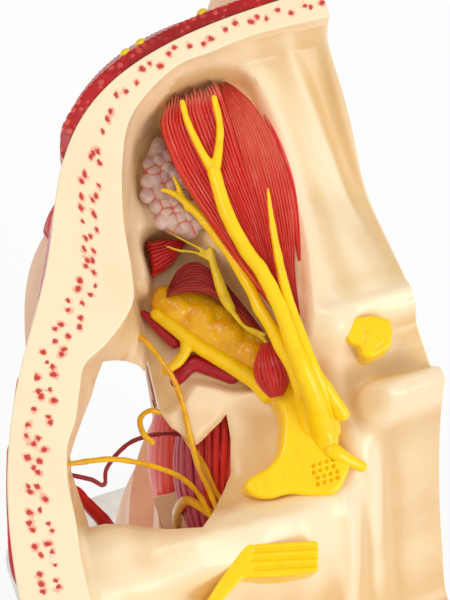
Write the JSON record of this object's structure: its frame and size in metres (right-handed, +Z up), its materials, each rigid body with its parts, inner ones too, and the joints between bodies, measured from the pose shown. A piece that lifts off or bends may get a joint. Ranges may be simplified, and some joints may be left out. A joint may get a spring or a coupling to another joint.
{
  "type": "head arteries model",
  "caption": "Left half of a life-size anatomical head with open skull base, nerves, arteries and muscles, turning on a rod stand.",
  "frame": {"origin": "centre of the underside of the pad that the stand rests on, on the axis of the rod", "axes": "+Z up along the rod, -Y the way the face looks, +X from the median cut towards the person's left side"},
  "size_m": [0.1018, 0.201, 0.234],
  "materials": {
    "bone": "glossy painted ivory",
    "skin": "satin painted flesh colour",
    "muscle": "glossy red with pale fibre lines",
    "dark_muscle": "glossy dark red with fibre lines",
    "pink_muscle": "glossy pinkish red",
    "nerve": "glossy yellow",
    "artery": "glossy deep red",
    "gland": "lilac grey with orange-red lines",
    "fat": "wet-looking amber yellow",
    "cord": "satin cream",
    "eye": "high gloss white with a painted iris",
    "steel": "turned and polished",
    "board": "off-white, fine grain",
    "pad": "matt grey foam rubber"
  },
  "bodies": {
    "stand": {"base_pad": "pad", "base_board": "board", "rod_flange": "steel", "support_rod": "steel", "flange_screw_1": "steel", "flange_screw_2": "steel", "flange_screw_3": "steel"},
    "head": {"skull_base": "bone", "face_block": "skin", "lower_jaw": "skin", "neck_block": "skin", "frontalis_muscle": "muscle", "temporalis_muscle": "muscle", "orbicularis_oculi": "muscle", "zygomaticus_muscle": "muscle", "orbicularis_oris": "muscle", "buccinator_muscle": "pink_muscle", "sternocleidomastoid": "muscle", "auricle": "skin", "eyeball": "eye", "levator_muscle": "muscle", "superior_rectus": "dark_muscle", "superior_oblique": "muscle", "lateral_rectus": "muscle", "inferior_rectus": "dark_muscle", "orbit_side_muscle": "muscle", "lacrimal_gland": "gland", "orbital_fat": "fat", "frontal_nerve": "nerve", "lacrimal_nerve": "nerve", "nasociliary_nerve": "nerve", "oculomotor_nerve": "nerve", "ciliary_ganglion": "nerve", "trigeminal_ganglion": "nerve", "abducens_nerve": "nerve", "optic_nerve": "nerve", "maxillary_nerve": "nerve", "facial_nerve": "nerve", "deep_temporal_nerve_front": "nerve", "deep_temporal_nerve_back": "nerve", "buccal_nerve": "nerve", "alveolar_nerve": "nerve", "maxillary_artery": "artery", "zygomatic_artery": "artery", "deep_temporal_artery": "artery", "middle_temporal_artery": "artery", "pterygoid_upper": "dark_muscle", "pterygoid_lower": "pink_muscle", "medial_pterygoid": "pink_muscle", "superficial_temporal_artery": "artery", "carotid_trunk": "artery", "facial_artery": "artery", "occipital_artery": "artery", "tongue": "pink_muscle", "nasal_conchae": "pink_muscle", "cervical_spine": "bone", "spinal_cord": "cord", "larynx": "pink_muscle", "neck_bush": "steel"}
  },
  "joints": [
    {"name": "head_swivel", "type": "hinge", "parent": "stand", "child": "head", "pos_m": [0, 0, 0.1], "axis": [0, 0, 1], "continuous": true}
  ]
}
